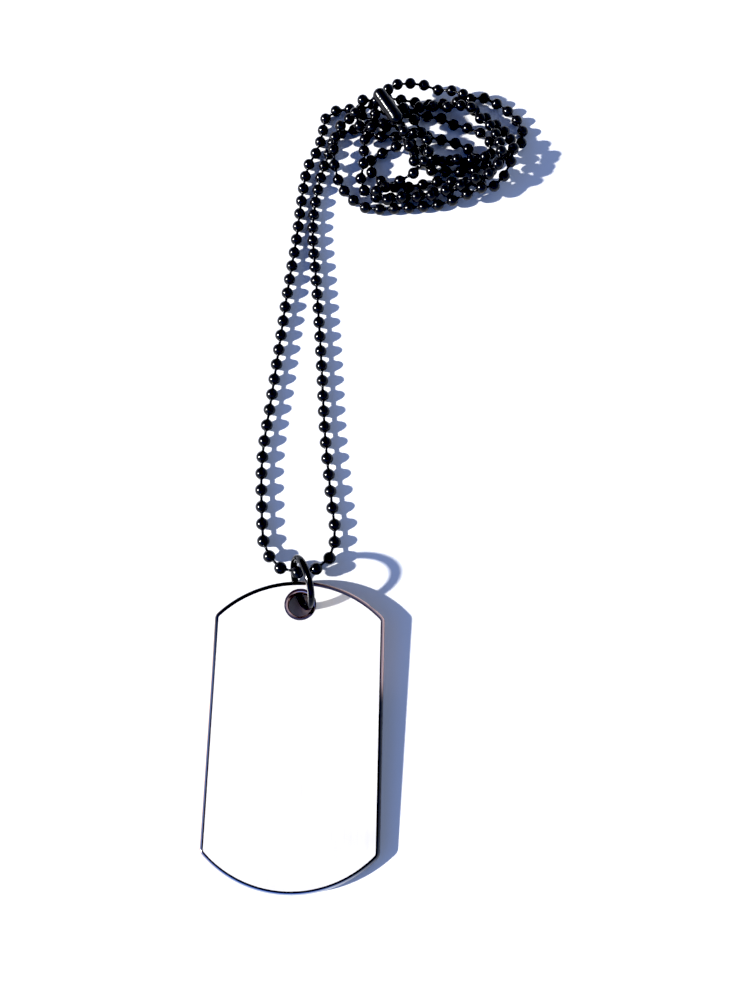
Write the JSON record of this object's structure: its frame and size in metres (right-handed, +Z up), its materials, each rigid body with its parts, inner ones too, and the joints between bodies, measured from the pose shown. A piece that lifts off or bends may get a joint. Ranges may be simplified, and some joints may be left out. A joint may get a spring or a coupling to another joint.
{
  "type": "identification dog tag",
  "caption": "Blank metal identification tag lying face up, with a jump ring in its end hole and a black ball chain necklace dropped in a loose pile, closed by a slotted tube connector.",
  "frame": {"origin": "on the floor, under the centre of the whole object's bounding box", "axes": "+Y along the tag's long axis, from the tag to the chain's pile; +Z up off the floor; +X to the tag's right, seen from above with the pile at the top"},
  "size_m": [0.0552, 0.156, 0.0093],
  "materials": {
    "tag_metal": "satin face, polished rim",
    "ring_metal": "polished, dark",
    "chain_metal": "gloss black",
    "connector_metal": "gloss black"
  },
  "bodies": {
    "root": {"tag_plate": "tag_metal", "jump_ring": "ring_metal", "ball_chain_first": "chain_metal", "ball_chain_second": "chain_metal", "chain_connector": "connector_metal"}
  },
  "joints": []
}
